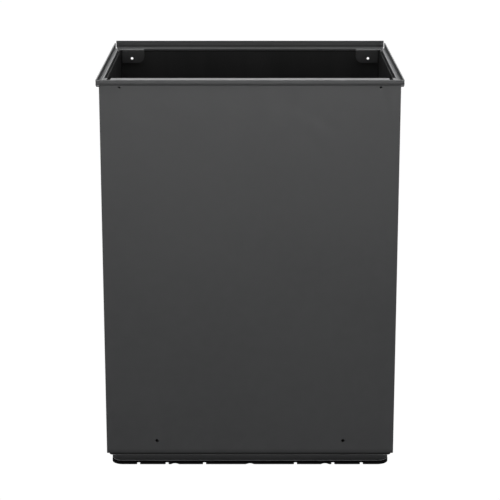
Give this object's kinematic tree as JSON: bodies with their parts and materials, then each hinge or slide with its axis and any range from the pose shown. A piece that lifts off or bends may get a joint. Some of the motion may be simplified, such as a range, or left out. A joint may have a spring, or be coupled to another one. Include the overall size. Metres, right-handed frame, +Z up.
{
  "type": "trash compactor container",
  "caption": "Open-topped sheet-steel container of a household trash compactor, with a turned rim, a stepped base and a black liner tub that lifts out.",
  "frame": {"origin": "middle of the outline in plan, on the floor under the foot ring", "axes": "+Z up, -Y towards the front face with the screw holes, +X to the right as seen from the front"},
  "size_m": [0.3414, 0.3072, 0.4564],
  "materials": {
    "shell_paint": "satin dark grey powder coat",
    "black_plastic": "matte black moulded plastic",
    "zinc_steel": "zinc-plated steel"
  },
  "bodies": {
    "container": {"front_panel": "shell_paint", "rear_panel": "shell_paint", "rear_rim_rail": "shell_paint", "left_side_panel": "shell_paint", "right_side_panel": "shell_paint", "front_stiffener_left": "shell_paint", "front_stiffener_right": "shell_paint", "front_gusset_left": "shell_paint", "front_gusset_right": "shell_paint", "nut_plate_left": "shell_paint", "nut_plate_right": "shell_paint", "seam_rivet_left_1": "zinc_steel", "seam_rivet_left_2": "zinc_steel", "seam_rivet_left_3": "zinc_steel", "seam_rivet_left_4": "zinc_steel", "seam_rivet_right_1": "zinc_steel", "seam_rivet_right_2": "zinc_steel", "seam_rivet_right_3": "zinc_steel", "seam_rivet_right_4": "zinc_steel", "base_band": "shell_paint", "base_pan": "shell_paint", "floor_plate": "zinc_steel", "foot_ring": "black_plastic", "floor_channel_left": "zinc_steel", "floor_channel_middle": "zinc_steel", "floor_channel_right": "zinc_steel", "foot_screw_1": "zinc_steel", "foot_screw_2": "zinc_steel", "foot_screw_3": "zinc_steel", "foot_screw_4": "zinc_steel"},
    "liner": {"liner_tub": "black_plastic", "liner_bracket_left": "shell_paint", "liner_bracket_right": "shell_paint"}
  },
  "joints": [
    {"name": "liner_lift", "type": "slide", "parent": "container", "child": "liner", "axis": [0, 0, 1], "range_m": [0, 0.44]}
  ]
}
